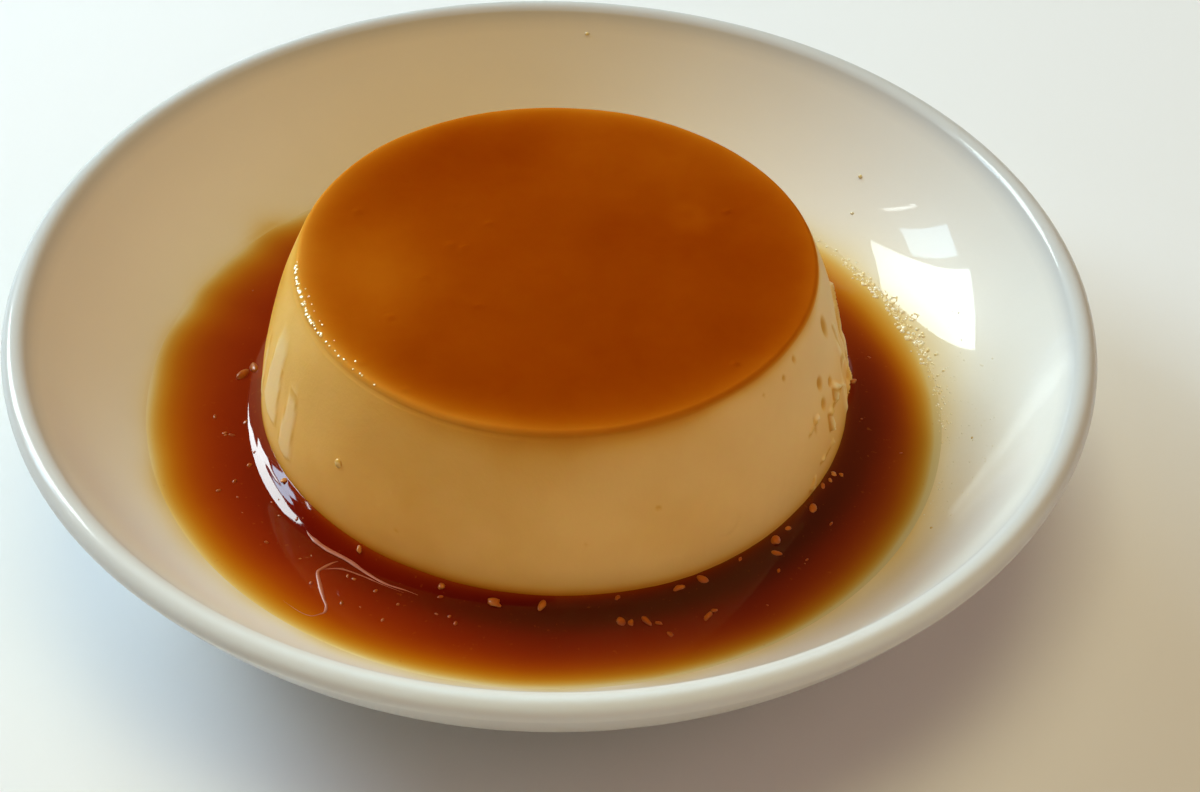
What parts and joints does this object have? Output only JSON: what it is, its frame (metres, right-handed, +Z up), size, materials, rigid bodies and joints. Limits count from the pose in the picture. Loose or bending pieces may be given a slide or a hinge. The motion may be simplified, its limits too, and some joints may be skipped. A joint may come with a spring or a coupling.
{
  "type": "creme caramel flan",
  "caption": "Turned-out custard flan with a caramel-soaked top, standing in a pool of caramel sauce in a round white glazed bowl.",
  "frame": {"origin": "centre of the foot ring's underside, on the surface that the bowl stands on", "axes": "+Z up along the bowl's turning axis; -Y is the side that faces the viewer"},
  "size_m": [0.165, 0.165, 0.0409],
  "materials": {
    "glazed_bowl": "glossy off-white glaze on a thick porcelain wall",
    "custard": "set egg custard, smooth and moist, slightly translucent",
    "caramel_stain": "custard soaked with caramel, satin, with a fine grain",
    "caramel_sauce": "clear thin caramel syrup, wet gloss, amber where shallow and dark red-brown where deep"
  },
  "bodies": {
    "root": {"bowl": "glazed_bowl", "custard": "custard", "caramel_top": "caramel_stain", "caramel_sauce": "caramel_sauce"}
  },
  "joints": []
}
